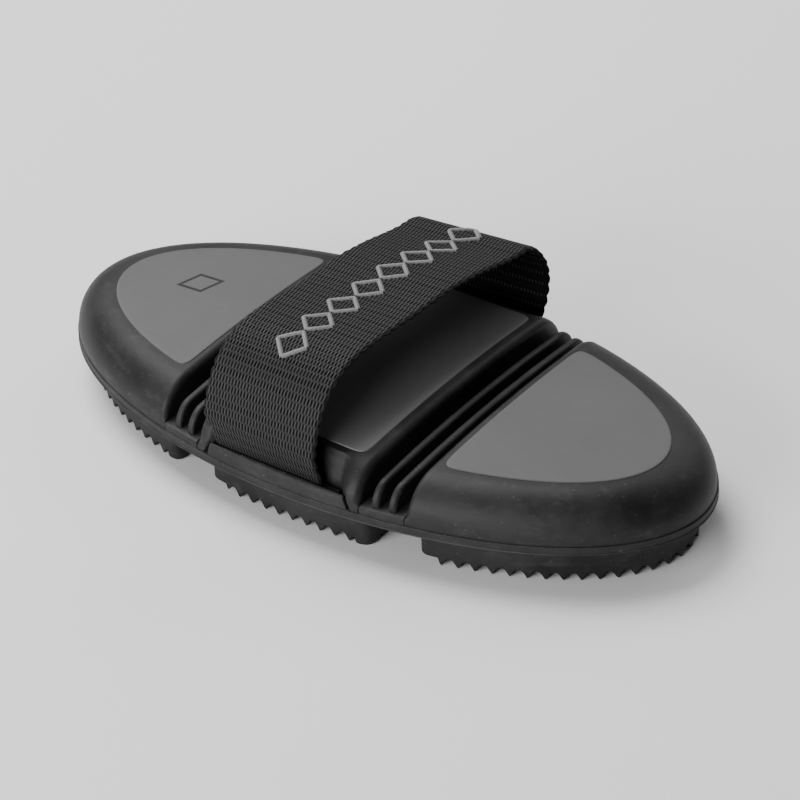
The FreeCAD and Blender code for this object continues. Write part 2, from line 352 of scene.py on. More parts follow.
def strap_recess(points):
    """Sinks the long sides of the centre shell where the strap stands, with soft pillars beside it."""
    x, y, z = points[..., 0], points[..., 1], points[..., 2]
    depth = smooth_step((recess_half - np.abs(x)) / recess_cheek)
    climb = np.clip((z - recess_slope_start) / (recess_slope_end - recess_slope_start), 0, 1)
    wall = recess_foot + (recess_head - recess_foot) * climb
    inner = np.minimum(np.abs(y), wall)
    moved = np.abs(y) + depth * (inner - np.abs(y))
    bar_end = bar_foot_half + (bar_half - bar_foot_half) * (z - seam) / (bar_top - seam)
    beside_bar = smooth_step((bar_end + bar_end_gap - np.abs(x)) / bar_end_blend) * (z < bar_top + 0.5)
    moved = moved + beside_bar * (np.minimum(moved, bar_inner - bar_gap) - moved)
    points[..., 1] = np.sign(y) * moved
    return points


def centre_shell(name, material):
    dome = shell_dome()
    beside = np.arange(cheek_start, cheek_end, cheek_step)
    extra = np.round(np.concatenate([beside, -beside]), 5)
    end = centre_edge - shell_play
    rows = stations(-end, end, radius=2.0, step=1.1, extra=extra)
    skin = Skin()
    skin.bar(strap_recess(np.array([dome.section(x, draw) for x, draw in rows])))
    return skin.piece(name, material)


# Rows of the floor's edge as (inset, rise), with the rise taken from the level of each part.
bead_rows = [(0.0, -0.6), (0.0, -0.4), (-0.14, -0.24), (-0.1, -0.06), (0.15, 0.0)]
flash_rows = [
    (9.0, 0.0), (0.9, 0.0), (0.4, 0.06), (0.1, 0.14),
    (-0.22, 0.26), (-0.2, 0.42), (0.0, 0.62), (0.0, 0.9),
]
flange_rows = bead_rows + [(1.1, 0.0), (9.0, 0.0)]
upper_rows = bead_rows + [(0.24, 0.05), (0.25, 0.3)]
groove_rows = [(0.27, -0.6), (0.4, -0.25), (0.8, -0.06), (1.3, 0.0), (9.0, 0.0)]


def floor_profile(whole):
    """Edge of the rubber floor from below to above: how far in and how high.

    A fine mould flash runs along its lower edge. The whole floor carries on above the seam.
    """
    parts = [(flash_rows, sole_low)]
    parts += [(upper_rows, seam), (groove_rows, floor_top)] if whole else [(flange_rows, seam)]
    rows = [(inset, level + rise) for part, level in parts for inset, rise in part]
    insets, heights = np.array(rows).T
    return insets, heights


def floor_sections(x0, x1, step, whole=False):
    """Cuts through a stretch of the floor between two planes across the comb."""
    insets, heights = floor_profile(whole)
    sections = []
    for x in np.linspace(x0, x1, max(2, round(abs(x1 - x0) / step) + 1)):
        y = oval_y(x, insets)
        loop_y = np.concatenate([-y, y[::-1]])
        loop_z = np.concatenate([heights, heights[::-1]])
        sections.append(np.stack([np.full_like(loop_y, x), loop_y, loop_z], 1))
    return np.array(sections)


def pad_sole(name, side, material):
    insets, heights = floor_profile(False)
    free_x = pad_edge + sole_join
    skin = Skin()
    body = floor_sections(pad_edge, free_x, step=1.0)
    skin.grid(body, closed_rows=True)
    skin.polygon(body[0])
    tip = tip_grid(insets, lambda x, y: np.broadcast_to(heights, y.shape), free_x)
    skin.grid(tip)
    skin.polygon(tip[:, 0])
    skin.polygon(tip[:, -1])
    skin.mirror(side)
    return skin.piece(name, material)


def centre_sole(name, material):
    skin = Skin()
    skin.bar(floor_sections(-centre_edge, centre_edge, step=0.9))
    for side in (-1, 1):
        strap_bar(skin, side)
    return skin.piece(name, material)


def strap_bar(skin, side):
    """The raised bar in front of a strap slot: flush outside, flat inside, sloped at its ends."""
    columns = []
    rise = bar_top - seam
    for x in np.linspace(-bar_foot_half, bar_foot_half, 90):
        end = (bar_foot_half - abs(x)) / (bar_foot_half - bar_half)
        height = seam - bar_sink + (rise + bar_sink) * smooth_step(end)
        height = max(height, seam - bar_least_sink)
        foot = oval_y(x, bar_inset)
        outer = foot - bar_lean
        r = min(bar_round, (height - seam + bar_sink) / 3)
        y = np.array([bar_inner, bar_inner, bar_inner + r * 0.3, bar_inner + r,
                      outer - r, outer - r * 0.3, foot - bar_lean * 0.8, foot - 0.02])
        z = np.array([seam - bar_root, height - r, height - r * 0.3, height,
                      height, height - r * 0.3, height - r, seam - bar_root])
        columns.append(np.stack([np.full(8, x), side * y, z], 1))
    skin.bar(np.array(columns))


def flex_rib(name, side, limits, material):
    skin = Skin()
    dome = Dome(rib_inset, rib_top, rib_shoulder, rib_shoulder, floor_top - 0.1, rows=20)
    rows = stations(*limits, radius=0.9, step=0.6)
    skin.bar(np.array([dome.section(x, draw, across=60) for x, draw in rows]))
    skin.bar(floor_sections(*limits, step=0.8, whole=True))
    skin.mirror(side)
    return skin.piece(name, material)


def groove_web(name, side, limits, material):
    """The strip of floor in a groove, in fine slices."""
    skin = Skin()
    skin.bar(floor_sections(*limits, step=0.27, whole=True))
    skin.mirror(side)
    return skin.piece(name, material)


# ---------------------------------------------------------------- outlines in plan

def even_loop(points, step):
    """A closed outline walked in equal steps."""
    closed = np.concatenate([points, points[:1]])
    length = walked(closed)
    count = max(8, round(length[-1] / step))
    places = np.linspace(0, length[-1], count, endpoint=False)
    return np.stack([np.interp(places, length, closed[:, i]) for i in (0, 1)], 1)


def soft_loop(points, step, softness):
    """A closed outline in equal steps, its corners rounded by a running average."""
    loop = even_loop(points, step)
    reach = int(4 * softness / step)
    weights = np.exp(-0.5 * (np.arange(-reach, reach + 1) * step / softness) ** 2)
    weights /= weights.sum()
    wrapped = np.concatenate([loop[-reach:], loop, loop[:reach]])
    return np.stack([np.convolve(wrapped[:, i], weights, "valid") for i in (0, 1)], 1)


def segment_outline(x0, x1, inset):
    """The part of the inset oval between two planes across the comb, anticlockwise."""
    if x1 >= half_length - inset:
        angle = math.acos(x0 / (half_length - inset))
        turn = np.linspace(-angle, angle, 400)
        return np.stack([(half_length - inset) * np.cos(turn), (half_width - inset) * np.sin(turn)], 1)
    x = np.linspace(x0, x1, 120)
    y = oval_y(x, inset)
    return np.concatenate([np.stack([x, -y], 1), np.stack([x[::-1], y[::-1]], 1)])


def outward(loop):
    """Unit normals of an anticlockwise loop, pointing out."""
    ahead = np.roll(loop, -1, axis=0) - np.roll(loop, 1, axis=0)
    ahead /= np.hypot(*ahead.T)[:, None]
    return np.stack([ahead[:, 1], -ahead[:, 0]], 1)


# ---------------------------------------------------------------- rings of teeth

tooth_point = 0.05
tooth_flank = 0.7
tooth_bow = 1.45
tip_round = 0.3
tip_rise = 0.35


def tooth_wave(phase):
    """How high the lower edge stands above the tips: pointed teeth with rounded valleys."""
    away = np.abs((phase + 0.5) % 1.0 - 0.5) * 2
    ramp = np.clip((away - tooth_point) / tooth_flank, 0, 1)
    return tooth_height * (1 - (1 - ramp) ** tooth_bow)


def tooth_ring(name, x0, inset, side, plain_x, valley_x, material):
    """A closed wall with teeth along its lower edge, plain at some of its corners.

    The corners at plain_x reach down to the tips, and those at valley_x only to the valleys.
    """
    x1 = beyond_tip if x0 > 0 else -x0
    half = ring_wall / 2
    outline = segment_outline(x0 + half, x1 - half, inset + half)
    line = soft_loop(outline, step=0.34, softness=1.3)
    normal = outward(line)
    length = walked(np.concatenate([line, line[:1]]))
    count = round(length[-1] / tooth_pitch)
    edge = tooth_wave(length[:-1] / length[-1] * count)
    corner_y = oval_y(abs(x0), inset)
    corners = ((plain_x, 0.0, plain_corner_reach), (valley_x, tooth_height, low_corner_reach))
    for corner_x, level, reach in corners:
        if corner_x is None:
            continue
        near = np.hypot(line[:, 0] - corner_x, np.abs(line[:, 1]) - corner_y)
        hold = smooth_step((reach - near) / corner_blend)
        edge = edge + hold * (level - edge)
    top = sole_low + 0.05
    rows = []
    for out, rise in ((half, None), (half, 1.0), (half, tip_rise), (half - tip_round, 0.0),
                      (-half + tip_round, 0.0), (-half, tip_rise), (-half, 1.0), (-half, None)):
        place = line + normal * out
        z = np.full(len(line), top) if rise is None else edge + rise
        rows.append(np.column_stack([place, z]))
    skin = Skin()
    skin.grid(np.array(rows).transpose(1, 0, 2), closed_rows=True, closed_columns=True)
    skin.mirror(side)
    return skin.piece(name, material, crease=50.0)


# ---------------------------------------------------------------- inlay plates

plate_proud = 0.28
plate_edge = 0.5
# Rows of the plate's edge as (inset, drop below its top), and the rows on its top as shares of the
# way from its middle.
plate_edge_rows = ((0.0, 1.6), (0.0, 0.35), (0.05, 0.16), (0.2, 0.04), (plate_edge, 0.0))
plate_top_rows = (0.97, 0.93, 0.86, 0.76, 0.62, 0.46, 0.3, 0.15)
pad_plate_softness = 2.6
middle_plate_softness = 2.3
pad_inlay_half_width = 36.5


def inlay_plate(name, outline, softness, side, material):
    """A plate with a soft edge and rounded corners, its top a little above the rubber's crown."""
    loop = soft_loop(outline, step=0.8, softness=softness)
    normal = outward(loop)
    middle = loop.mean(axis=0)
    top = crown_top + plate_proud
    skin = Skin()
    rows = []
    for inset, drop in plate_edge_rows:
        place = loop - normal * inset
        rows.append(np.column_stack([place, crown_z(*place.T, top) - drop]))
    for share in plate_top_rows:
        place = middle + (loop - normal * plate_edge - middle) * share
        rows.append(np.column_stack([place, crown_z(*place.T, top)]))
    skin.grid(np.array(rows).transpose(1, 0, 2), closed_columns=True)
    skin.fan(rows[-1], [*middle, crown_z(*middle, top)])
    skin.polygon(rows[0])
    skin.mirror(side)
    return skin.piece(name, material)


def pad_inlay_outline():
    low, high = span("right_pad_inlay")
    angle = math.acos(low[0] / high[0])
    turn = np.linspace(-angle, angle, 400)
    return np.stack([high[0] * np.cos(turn), pad_inlay_half_width * np.sin(turn)], 1)


def centre_inlay_outline():
    x, y = span("centre_inlay")[1][:2]
    return np.array([[-x, -y], [x, -y], [x, y], [-x, y]])


# ---------------------------------------------------------------- webbing strap

strap_thick = 1.6
warp_columns = 36
row_pitch = 2.15
knot_pitch = 3.1
relief_depth = 0.55
selvedge_loop = 0.5
crease_place = 32.5
crease_reach = 3.6
crease_gather = 2.2
crease_slant = 1.5
float_slant = 0.06
float_reach = 0.72
knot_wide = 0.8
knot_reach = 0.5
knot_ground = 0.1
weave_step = 0.26
fine_per_column = 7
coarse_per_column = 4
selvedge_start = 0.95
selvedge_width = 0.05
selvedge_fade = 0.6
selvedge_thin = 0.5


def strap_points():
    """Middle line of the webbing seen along the comb: y, z."""
    return np.array([
        [-45.1, 15.9], [-44.9, 20.8], [-43.6, 27.5], [-41.0, 34.4], [-36.0, 40.6], [-28.0, 44.5],
        [-16.0, 44.9], [-2.3, 44.6], [11.2, 44.9], [24.5, 43.5], [36.7, 41.3], [45.2, 40.7],
        [50.4, 34.6], [51.4, 28.6], [49.3, 22.6], [46.3, 18.9], [45.2, 15.9],
    ])


def smooth_line(points, step, samples=24, passes=60):
    """A smooth curve near the points, walked in equal steps, and how far along each step is."""
    count = len(points)
    ends = np.vstack([2 * points[0] - points[1], points, 2 * points[-1] - points[-2]])
    t = np.linspace(0, 1, samples, endpoint=False)[:, None]
    runs = []
    for i in range(count - 1):
        a, b, c, d = ends[i:i + 4]
        runs.append(0.5 * (2 * b + (c - a) * t + (2 * a - 5 * b + 4 * c - d) * t ** 2
                           + (3 * b - a - 3 * c + d) * t ** 3))
    line = np.vstack(runs + [points[-1:]])
    for _ in range(passes):
        line[1:-1] = line[1:-1] * 0.5 + (line[:-2] + line[2:]) * 0.25
    length = walked(line)
    places = np.linspace(0, length[-1], round(length[-1] / step) + 1)
    return np.stack([np.interp(places, length, line[:, i]) for i in (0, 1)], 1), places


strap_twist = 1.26
strap_wave = 0.12
strap_lean = 1.09
slip_near = -7.3
slip_middle = -8.3
slip_far = 0.4
grip_reach = 9.0
grip_slip = -3.4
grip_squeeze = 1.6


def strap_surface(across, along, lift):
    """Point on the webbing: across from -1 to 1, along in millimetres, lifted off its middle.

    Its near side stands to the left. There the end is gripped in the slot, a little narrower.
    """
    line, places = STRAP_LINE
    y = np.interp(along, places, line[:, 0])
    z = np.interp(along, places, line[:, 1])
    slope_y = np.interp(along, places, np.gradient(line[:, 0], places))
    slope_z = np.interp(along, places, np.gradient(line[:, 1], places))
    length = np.hypot(slope_y, slope_z)
    share = along / places[-1]
    slip = slip_near * (1 - share) ** 2 + slip_middle * share * (1 - share) + slip_far * share ** 2
    grip = 1 - smooth_step(along / grip_reach)
    x = across * (strap_half - grip_squeeze * grip) + slip + grip * (grip_slip - slip)
    free = 1 - grip
    turn = strap_twist * np.sin(math.pi * share) + strap_wave * np.sin(2 * math.pi * share)
    z = z + free * across * turn
    y = y - free * strap_lean * across * np.cos(math.pi * share)
    return np.stack([x, y - slope_z / length * lift, z + slope_y / length * lift], -1)


def float_height(across, along):
    """Outer face, 0 in the gaps to 1: rows of long floats, each half a column beside the one before.

    The rows are gathered where the strap was creased, near its near shoulder.
    """
    along = along + crease_gather * np.tanh((along - crease_place - crease_slant * across) / crease_reach)
    highest = np.zeros(np.broadcast(across, along).shape)
    for shift in (0.0, 0.5):
        end = ((along / (2 * row_pitch) + shift) % 1.0 - 0.5) * 2
        side = ((across * warp_columns / 2 + shift + float_slant * end) % 1.0 - 0.5) * 2
        round_top = 1 - 1.1 * np.abs(side) ** 1.8 - np.abs(end / float_reach) ** 4
        highest = np.maximum(highest, np.sqrt(np.clip(round_top, 0, 1)))
    return highest


def knot_height(across, along):
    """Inner face: short floats standing in line, far apart."""
    end = ((along / knot_pitch) % 1.0 - 0.5) * 2
    side = ((across * warp_columns / 2) % 1.0 - 0.5) * 2
    round_top = 1 - np.abs(side / knot_wide) ** 2 - np.abs(end / knot_reach) ** 2.4
    return knot_ground + (1 - knot_ground) * np.sqrt(np.clip(round_top, 0, 1))


STRAP_LINE = smooth_line(strap_points(), 0.25)


def strap_half_piece(name, start, end, material):
    """One part of the webbing, woven on both faces, with looped selvedges."""
    along = np.linspace(start, end, round((end - start) / weave_step) + 1)
    fine = np.linspace(-1, 1, warp_columns * fine_per_column + 1)
    coarse = np.linspace(1, -1, warp_columns * coarse_per_column + 1)
    across = np.concatenate([fine, coarse])
    grid_along, grid_across = np.meshgrid(along, across, indexing="ij")
    outside = np.arange(len(across)) < len(fine)
    face = np.where(outside, 1.0, -1.0)[None, :]
    edge = np.clip((np.abs(grid_across) - selvedge_start) / selvedge_width, 0, 1)
    relief = np.where(outside, float_height(grid_across, grid_along), knot_height(grid_across, grid_along))
    relief = relief * (1 - selvedge_fade * edge)
    lift = face * (strap_thick / 2 - relief_depth * (1 - relief)) * (1 - selvedge_thin * edge ** 2)
    loops = selvedge_loop * np.abs(np.sin(math.pi * (grid_along / knot_pitch + 0.5 * (grid_across > 0))))
    wide = grid_across * (1 + edge * (loops - selvedge_loop / 2) / strap_half)
    points = strap_surface(wide, grid_along, lift)
    uvs = np.stack([grid_across * strap_half, grid_along, relief], -1)
    skin = Skin()
    skin.bar(points, uvs)
    return skin.piece(name, material, crease=75.0, weld=0.0005)


# ---------------------------------------------------------------- embroidery

thread_pitch = 0.42
thread_fill = 0.62
thread_rise = 0.52
thread_dive = 0.12
thread_bed = 0.1


def satin_bar(skin, start, end, width):
    """A line of side-by-side threads across the way from start to end on the strap."""
    a = np.array(start, float)
    b = np.array(end, float)
    way = b - a
    long = np.hypot(*way)
    way /= long
    side = np.array([-way[1], way[0]])
    count = max(2, round(long / thread_pitch))
    for i in range(count):
        middle = a + way * (i + 0.5) * long / count
        thread(skin, middle - side * width / 2, middle + side * width / 2, thread_pitch * thread_fill)


def thread(skin, start, end, radius):
    """One stitch: a thread that rises out of the webbing, lies over and dives in again."""
    steps = 7
    ring = 6
    share = np.linspace(0, 1, steps)
    path = start + (end - start) * share[:, None]
    rise = thread_rise * np.sin(math.pi * share) ** 0.45 - thread_dive
    flat = (end - start) / np.hypot(*(end - start))
    side = np.array([-flat[1], flat[0]])
    turn = np.linspace(0, 2 * math.pi, ring, endpoint=False)
    columns = []
    for i in range(steps):
        place = path[i] + side * (np.cos(turn) * radius)[:, None]
        lift = strap_thick / 2 - thread_bed + rise[i] + np.sin(turn) * radius
        columns.append(strap_surface(place[:, 0] / strap_half, place[:, 1], lift))
    skin.bar(np.array(columns))


motif_count = 8
motif_pitch = 10.2
motif_middle = 70.0
motif_half_wide = 4.9
motif_half_long = 4.5
motif_stroke = 1.25


def embroidery(name, start, end, material):
    """Open lozenges in satin stitch, in a row along the middle of the strap, between two places."""
    skin = Skin()
    for i in range(motif_count):
        along = motif_middle + (i - (motif_count - 1) / 2) * motif_pitch
        if not start <= along < end:
            continue
        corners = [(0.0, along - motif_half_long), (motif_half_wide, along),
                   (0.0, along + motif_half_long), (-motif_half_wide, along)]
        for a, b in zip(corners, corners[1:] + corners[:1]):
            satin_bar(skin, a, b, motif_stroke)
    return skin.piece(name, material, crease=60.0, weld=0.0002)


# ---------------------------------------------------------------- materials

class Nodes:
    """A short way to write a node tree."""

    def __init__(self, name):
        self.material = bpy.data.materials.new(name)
        self.material.use_nodes = True
        self.tree = self.material.node_tree
        self.shader = self.tree.nodes["Principled BSDF"]

    def add(self, kind, **settings):
        node = self.tree.nodes.new(kind)
        for key, value in settings.items():
            setattr(node, key, value)
        return node

    def link(self, source, target):
        self.tree.links.new(source, target)

    def place(self, stretch=(1.0, 1.0, 1.0)):
        """The place on the piece, in metres, stretched along its axes."""
        coordinates = self.add("ShaderNodeTexCoord")
        mapping = self.add("ShaderNodeMapping")
        mapping.inputs["Scale"].default_value = stretch
        self.link(coordinates.outputs["Object"], mapping.inputs["Vector"])
        return mapping.outputs["Vector"]

    def noise(self, vector, scale, detail=3.0, roughness=0.55):
        node = self.add("ShaderNodeTexNoise")
        node.inputs["Scale"].default_value = scale
        node.inputs["Detail"].default_value = detail
        node.inputs["Roughness"].default_value = roughness
        self.link(vector, node.inputs["Vector"])
        return node.outputs["Fac"]

    def ramp(self, factor, low, high, start=0.0, end=1.0):
        node = self.add("ShaderNodeMapRange")
        node.inputs["From Min"].default_value = low
        node.inputs["From Max"].default_value = high
        node.inputs["To Min"].default_value = start
        node.inputs["To Max"].default_value = end
        self.link(factor, node.inputs["Value"])
        return node.outputs["Result"]

    def math(self, operation, a, b):
        node = self.add("ShaderNodeMath", operation=operation)
        for socket, value in zip(node.inputs, (a, b)):
            if isinstance(value, (int, float)):
                socket.default_value = value
            else:
                self.link(value, socket)
        return node.outputs["Value"]

    def mix(self, factor, dark, light):
        node = self.add("ShaderNodeMix", data_type="RGBA")
        self.link(factor, node.inputs["Factor"])
        for name, colour in (("A", dark), ("B", light)):
            socket = [s for s in node.inputs if s.name == name and s.type == "RGBA"][0]
            if isinstance(colour, tuple):
                socket.default_value = (*colour, 1.0)
            else:
                self.link(colour, socket)
        return [s for s in node.outputs if s.type == "RGBA"][0]

    def bump(self, height, strength, distance):
        node = self.add("ShaderNodeBump")
        node.inputs["Strength"].default_value = strength
        node.inputs["Distance"].default_value = distance
        self.link(height, node.inputs["Height"])
        self.link(node.outputs["Normal"], self.shader.inputs["Normal"])

    def set(self, socket, value):
        if isinstance(value, (int, float)):
            self.shader.inputs[socket].default_value = value
        else:
            self.link(value, self.shader.inputs[socket])


def grey(value, tint=0.0):
    return (value, value, value * (1 + tint))


def level_line(m, where, level, reach):
    """Mask of the rubber at one height, in millimetres: 1 at the level, 0 beyond its reach."""
    split = m.add("ShaderNodeSeparateXYZ")
    m.link(where, split.inputs["Vector"])
    away = m.math("ABSOLUTE", m.math("SUBTRACT", m.math("MULTIPLY", split.outputs["Z"], 1 / MM), level), 0.0)
    return m.ramp(away, reach, reach * 0.4)


# Height, reach and strength of the painted highlights along the lines where the halves of the mould met.
mould_line_highlights = ((seam - 0.05, 0.22, 0.55), (sole_low + 0.3, 0.24, 0.9))


def rubber(name, base, shine, bloom):
    """Black moulded rubber: fine grain, bloom, smears, hairline marks, dust and painted highlights along the
    mould lines.
    """
    m = Nodes(name)
    where = m.place()
    clouds = m.noise(where, 45.0, 5.0, 0.62)
    smears = m.noise(m.place((1.0, 1.0, 2.6)), 130.0, 5.0, 0.65)
    grain = m.noise(where, 2600.0, 2.0)
    specks = m.noise(where, 1300.0, 1.0)
    colour = m.mix(m.ramp(clouds, 0.38, 0.62), grey(base * 0.55, 0.03), grey(base * (1 + bloom), 0.03))
    colour = m.mix(m.ramp(smears, 0.53, 0.68, 0.0, 0.7), colour, grey(base * (1 + 2 * bloom)))
    line = m.math("ABSOLUTE", m.math("SUBTRACT", m.noise(where, 170.0, 2.0), 0.5), 0.0)
    marks = m.math("MULTIPLY", m.ramp(line, 0.004, 0.001), m.ramp(smears, 0.52, 0.6, 0.0, 0.5))
    colour = m.mix(marks, colour, grey(base * 3.2))
    colour = m.mix(m.ramp(specks, 0.735, 0.79), colour, grey(base * 6))
    # Pale bands at the mould seam and at the flash bead: painted highlight.
    for level, reach, share in mould_line_highlights:
        highlight_patches = m.ramp(smears, 0.42, 0.6, 0.2, share)
        seam_highlight = m.math("MULTIPLY", level_line(m, where, level, reach), highlight_patches)
        colour = m.mix(seam_highlight, colour, grey(base * 3.0))
    m.set("Base Color", colour)
    m.set("Roughness", m.ramp(clouds, 0.25, 0.75, shine - 0.06, shine + 0.08))
    m.set("Specular IOR Level", 0.28)
    height = m.math("ADD", m.math("MULTIPLY", grain, 0.6), m.math("MULTIPLY", clouds, 2.0))
    height = m.math("ADD", height, m.math("MULTIPLY", specks, 1.0))
    m.bump(height, 0.25, 0.0001)
    return m.material


emblem_place = (-64.1 * MM, 2.3 * MM)
emblem_turn = 38.0
emblem_reach = 6.0
emblem_squash = 1.35
emblem_line = 1.8


def lozenge(m, where):
    """Mask of a printed open lozenge: 1 on its line, 0 beside it."""
    centre = m.add("ShaderNodeMapping", vector_type="TEXTURE")
    centre.inputs["Location"].default_value = (*emblem_place, 0)
    centre.inputs["Rotation"].default_value = (0, 0, math.radians(emblem_turn))
    m.link(where, centre.inputs["Vector"])
    split = m.add("ShaderNodeSeparateXYZ")
    m.link(centre.outputs["Vector"], split.inputs["Vector"])
    across = m.math("MULTIPLY", split.outputs["X"], 1 / MM)
    along = m.math("MULTIPLY", split.outputs["Y"], 1 / MM)
    wide = m.math("ABSOLUTE", across, 0.0)
    tall = m.math("MULTIPLY", m.math("ABSOLUTE", along, 0.0), emblem_squash)
    away = m.math("ABSOLUTE", m.math("SUBTRACT", m.math("ADD", wide, tall), emblem_reach), 0.0)
    return m.ramp(away, emblem_line / 2, emblem_line / 2 - 0.12)


def inlay_plastic(name, base, emblem=False):
    """Matte grey plate with a fine eroded texture and faint handling marks."""
    m = Nodes(name)
    where = m.place()
    clouds = m.noise(where, 38.0, 5.0)
    grain = m.noise(where, 3200.0, 2.0)
    scuffs = m.noise(m.place((1.0, 4.0, 1.0)), 220.0, 6.0, 0.7)
    colour = m.mix(m.ramp(clouds, 0.3, 0.7), grey(base * 0.94, 0.02), grey(base * 1.05, 0.02))
    colour = m.mix(m.ramp(scuffs, 0.66, 0.80, 0.0, 0.35), colour, grey(base * 1.3))
    if emblem:
        colour = m.mix(lozenge(m, where), colour, grey(base * 0.16))
    m.set("Base Color", colour)
    m.set("Roughness", m.ramp(scuffs, 0.3, 0.7, 0.55, 0.66))
    m.set("Specular IOR Level", 0.25)
    m.bump(m.math("ADD", grain, m.math("MULTIPLY", clouds, 1.5)), 0.3, 0.0001)
    return m.material


def webbing(name, gap_shade, float_tone):
    """Black polyester webbing: filaments along each float, with painted shade making the gaps between them
    near black.
    """
    m = Nodes(name)
    relief_map = m.add("ShaderNodeUVMap", uv_map="relief")
    split = m.add("ShaderNodeSeparateXYZ")
    m.link(relief_map.outputs["UV"], split.inputs["Vector"])
    weave = m.add("ShaderNodeUVMap", uv_map="weave")
    stretch = m.add("ShaderNodeMapping")
    stretch.inputs["Scale"].default_value = (9.0, 0.9, 1.0)
    m.link(weave.outputs["UV"], stretch.inputs["Vector"])
    fibres = m.noise(stretch.outputs["Vector"], 1.0, 4.0, 0.65)
    tone = m.noise(weave.outputs["UV"], 0.35, 3.0)
    fuzz = m.noise(m.place(), 5000.0, 2.0)
    yarn = m.mix(m.ramp(fibres, 0.3, 0.72), grey(float_tone * 0.5, 0.03), grey(float_tone * 1.6, 0.03))
    yarn = m.mix(m.ramp(tone, 0.3, 0.7, 0.0, 0.35), yarn, grey(float_tone * 1.3, 0.02))
    # Where the relief is low, between the floats, the colour is painted shade, near black.
    colour = m.mix(m.ramp(split.outputs["X"], 0.66, 1.0), grey(gap_shade), yarn)
    m.set("Base Color", colour)
    m.set("Roughness", m.ramp(split.outputs["X"], 0.4, 0.95, 0.85, 0.5))
    m.set("Specular IOR Level", 0.25)
    m.set("Sheen Weight", 0.02)
    m.set("Sheen Roughness", 0.45)
    m.bump(m.math("ADD", fibres, m.math("MULTIPLY", fuzz, 0.3)), 0.5, 0.00012)
    return m.material


def thread_material(name, base):
    """Grey embroidery thread, half glossy, with a fine twist."""
    m = Nodes(name)
    where = m.place()
    twist = m.noise(where, 2600.0, 3.0, 0.6)
    tone = m.noise(where, 300.0, 2.0)
    colour = m.mix(m.ramp(twist, 0.3, 0.7), grey(base * 0.7), grey(base * 1.15))
    colour = m.mix(m.ramp(tone, 0.4, 0.65, 0.0, 0.4), colour, grey(base * 0.8))
    m.set("Base Color", colour)
    m.set("Roughness", m.ramp(twist, 0.3, 0.7, 0.5, 0.38))
    m.set("Sheen Weight", 0.2)
    m.bump(twist, 0.4, 0.0001)
    return m.material


# ---------------------------------------------------------------- build the comb

plate_tone = 0.098
# The middle plate is the same plastic as the other plates, made lighter here as painted light against the
# strap's shade on it.
middle_plate_painted_light_tone = 0.125
shell_black = rubber("shell rubber", 0.0095, 0.52, 0.9)
sole_black = rubber("sole rubber", 0.014, 0.56, 0.5)
plate_grey = inlay_plastic("inlay plastic", plate_tone)
# Lighter copy of the plate plastic for the middle plate: painted light.
middle_grey_painted_light = inlay_plastic("middle inlay plastic with painted light", middle_plate_painted_light_tone)
emblem_grey = inlay_plastic("inlay plastic with emblem", plate_tone, emblem=True)
# The webbing's 0.0002 is the painted shade in the gaps of the weave.
web_black = webbing("webbing", 0.0002, 0.029)
hidden_black = rubber("strap end webbing", 0.008, 0.7, 0.2)
thread_grey = thread_material("embroidery thread", 0.2)


def fit(piece, body, slot, *nodes):
    """Puts a finished piece on its body, in place of CAD nodes."""
    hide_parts(*nodes)
    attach(piece, body)


fit(centre_shell("centre_shell_skin", shell_black), "centre", "shell_rubber", "centre_shell")
fit(centre_sole("centre_floor", sole_black), "centre", "sole_rubber", "centre_sole")
middle_plate = inlay_plate("centre_plate", centre_inlay_outline(), middle_plate_softness, 1, middle_grey_painted_light)
fit(middle_plate, "centre", "inlay", "centre_inlay")

for end, side in (("left", -1), ("right", 1)):
    pad = end + "_pad"
    fit(pad_shell(end + "_shell_skin", side, shell_black), pad, "shell_rubber", pad + "_shell")
    fit(pad_sole(end + "_floor", side, sole_black), pad, "sole_rubber", pad + "_sole")
    plastic = emblem_grey if side < 0 else plate_grey
    plate = inlay_plate(end + "_plate", pad_inlay_outline(), pad_plate_softness, side, plastic)
    fit(plate, pad, "inlay", pad + "_inlay")
    for place, limits in (("inner", inner_rib), ("outer", outer_rib)):
        rib = flex_rib(f"{end}_{place}_rib_skin", side, limits, shell_black)
        fit(rib, f"{end}_{place}_rib", "shell_rubber", f"{end}_{place}_flex_rib")
    chain = ["centre", end + "_inner_rib", end + "_outer_rib", pad]
    gaps = [(centre_edge, inner_rib[0]), (inner_rib[1], outer_rib[0]), (outer_rib[1], pad_edge)]
    for place, limits, body_a, body_b in zip(("inner", "middle", "outer"), gaps, chain, chain[1:]):
        web = groove_web(f"{end}_{place}_web_skin", side, limits, sole_black)
        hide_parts(f"{end}_{place}_groove_web")
        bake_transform(web)
    outer_x = span("right_pad_outer_tooth_ring")[0][0]
    inner_x = span("right_pad_inner_tooth_ring")[0][0]
    corners = (None, outer_x) if side > 0 else (outer_x, None)
    outer = tooth_ring(end + "_outer_teeth", outer_x, ring_inset, side, *corners, sole_black)
    inner = tooth_ring(end + "_inner_teeth", inner_x, inner_ring_inset, side, inner_x, None, sole_black)
    fit(outer, pad, "sole_rubber", pad + "_outer_tooth_ring")
    fit(inner, pad, "sole_rubber", pad + "_inner_tooth_ring")

edge_x = span("centre_outer_tooth_ring")[1][0]
ring = tooth_ring("centre_outer_teeth", -edge_x, ring_inset, 1, edge_x, -edge_x, sole_black)
fit(ring, "centre", "sole_rubber", "centre_outer_tooth_ring")
edge_x = span("centre_inner_tooth_ring")[1][0]
ring = tooth_ring("centre_inner_teeth", -edge_x, inner_ring_inset, 1, edge_x, None, sole_black)
fit(ring, "centre", "sole_rubber", "centre_inner_tooth_ring")

